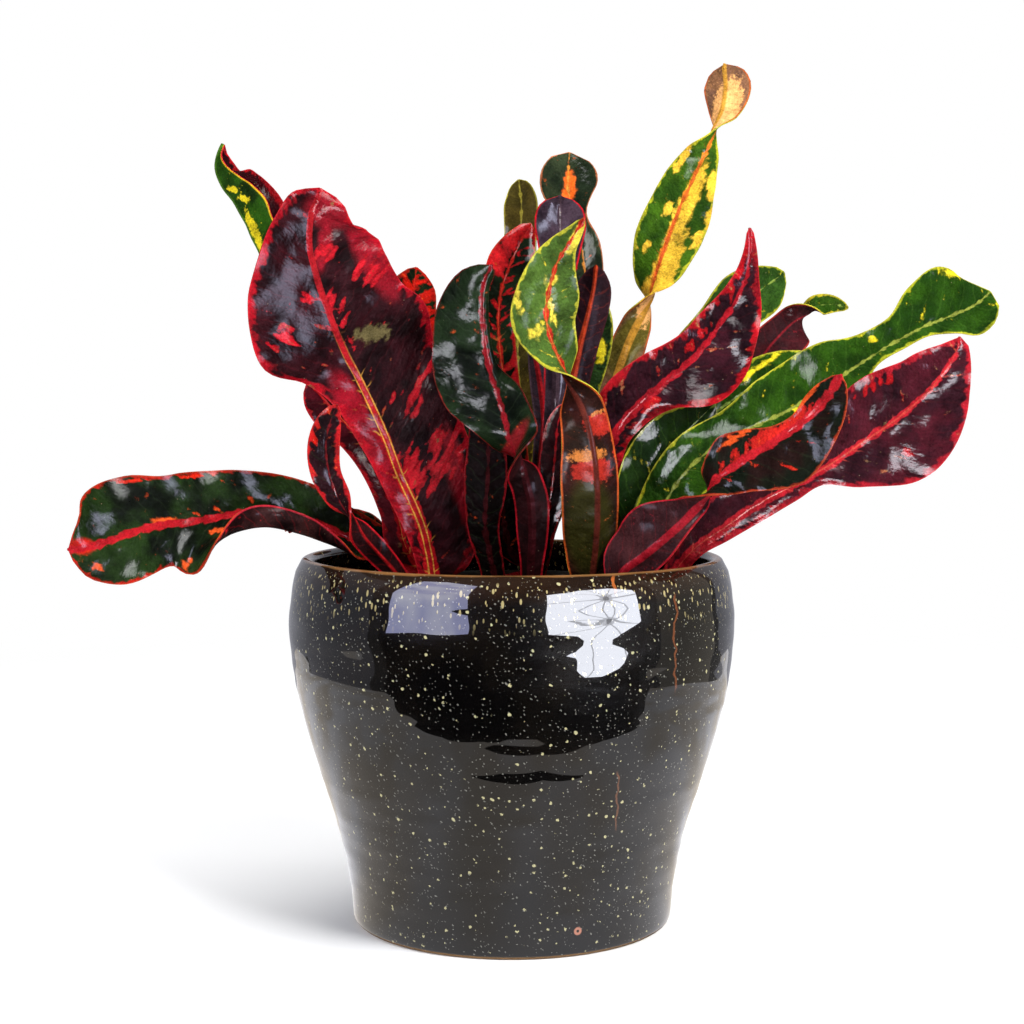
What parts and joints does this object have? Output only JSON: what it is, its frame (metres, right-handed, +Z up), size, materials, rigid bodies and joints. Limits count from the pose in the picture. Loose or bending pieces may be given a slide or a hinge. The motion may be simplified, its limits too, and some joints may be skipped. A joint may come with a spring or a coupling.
{
  "type": "potted croton",
  "caption": "House plant with twisted, curled leathery leaves on short cuttings, growing in soil in a plastic pot that stands in a glazed round cover pot.",
  "frame": {"origin": "middle of the cover pot's flat base, on the surface that it stands on", "axes": "+Z up out of the pot, +X to the right of the plant's front, along its widest spread, -Y towards the front"},
  "size_m": [0.3008, 0.1755, 0.2906],
  "materials": {
    "glaze": "glossy near-black brown glaze with pale yellow speckles",
    "pot_plastic": "thin satin black plastic",
    "soil": null,
    "bark": "grey-brown bark with ring scars",
    "leaf_red": "glossy maroon blade with red rib and margin",
    "leaf_dark": "glossy black-green blade with red marks",
    "leaf_green": "glossy green blade with yellow rib, margin and spots"
  },
  "bodies": {
    "root": {"cover_pot": "glaze", "grower_pot": "pot_plastic", "soil": "soil", "cutting_left": "bark", "cutting_centre": "bark", "cutting_right": "bark", "leaf_left_paddle": "leaf_red", "leaf_left_curl": "leaf_green", "leaf_left_back_tip": "leaf_dark", "leaf_left_maroon": "leaf_red", "leaf_left_narrow": "leaf_red", "leaf_left_long": "leaf_dark", "leaf_centre_dark": "leaf_dark", "leaf_centre_mottled": "leaf_red", "leaf_centre_olive": "leaf_green", "leaf_centre_corkscrew": "leaf_green", "leaf_centre_hood": "leaf_red", "leaf_centre_round": "leaf_dark", "leaf_centre_purple": "leaf_red", "leaf_centre_green": "leaf_green", "leaf_tall_corkscrew": "leaf_green", "leaf_right_red": "leaf_red", "leaf_centre_maroon": "leaf_red", "leaf_centre_grey": "leaf_red", "leaf_centre_shade": "leaf_red", "leaf_centre_inner": "leaf_red", "leaf_right_long_green": "leaf_green", "leaf_right_green": "leaf_green", "leaf_right_yellow_edged": "leaf_green", "leaf_far_right_red": "leaf_red", "leaf_right_twisted": "leaf_red", "leaf_right_round_green": "leaf_green", "leaf_right_curl": "leaf_red", "leaf_back_1": "leaf_dark", "leaf_back_2": "leaf_red", "leaf_back_3": "leaf_green", "leaf_back_4": "leaf_red", "leaf_back_5": "leaf_green", "leaf_back_6": "leaf_red", "leaf_back_7": "leaf_red", "leaf_back_8": "leaf_green", "leaf_back_9": "leaf_red", "leaf_back_10": "leaf_dark", "leaf_back_11": "leaf_red"}
  },
  "joints": []
}
